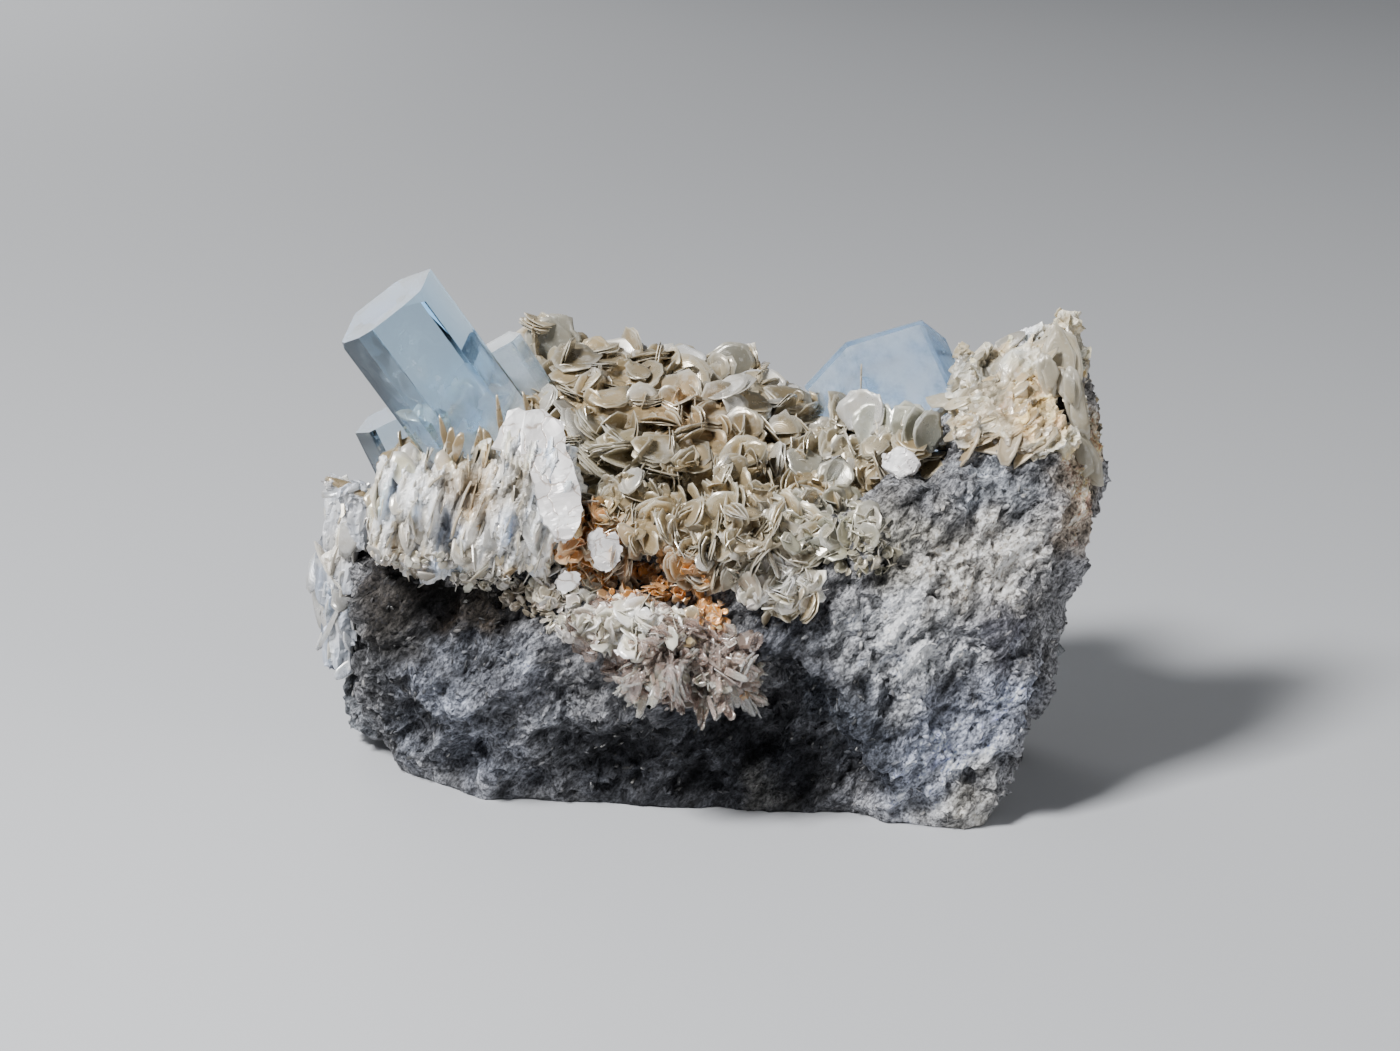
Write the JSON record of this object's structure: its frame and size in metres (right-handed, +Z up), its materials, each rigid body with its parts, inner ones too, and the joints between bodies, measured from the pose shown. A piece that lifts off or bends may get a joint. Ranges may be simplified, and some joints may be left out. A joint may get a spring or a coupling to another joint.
{
  "type": "aquamarine crystal specimen on matrix",
  "caption": "Natural mineral specimen: six-sided pale blue aquamarine prisms set in mica rosettes on a saddle-shaped grey feldspar rock, resting on a flat underside.",
  "frame": {"origin": "on the flat underside that the rock rests on, midway between its left and right ends", "axes": "+Z up, front of the specimen towards -Y, +X to the right along its longest side"},
  "size_m": [0.1215, 0.0665, 0.0788],
  "materials": {
    "rock": "rough broken grey feldspar rock, salt-and-pepper grained",
    "beryl": "clear to milky pale blue beryl, vitreous",
    "quartz": "clear to milky quartz, vitreous",
    "mica": "tan to greenish grey muscovite plates, pearly",
    "silver_mica": "silvery white muscovite books, pearly",
    "albite": "pinkish tan albite blades, vitreous"
  },
  "bodies": {
    "root": {"rock_matrix": "rock", "main_aquamarine": "beryl", "second_aquamarine": "beryl", "small_left_aquamarine": "beryl", "big_right_aquamarine": "beryl", "valley_quartz": "quartz", "rear_quartz": "quartz", "mica_rosette_crust": "mica", "ridge_mica": "mica", "left_mica_books": "silver_mica", "white_flake": "silver_mica", "left_edge_blades": "silver_mica", "albite_blades": "albite"}
  },
  "joints": []
}
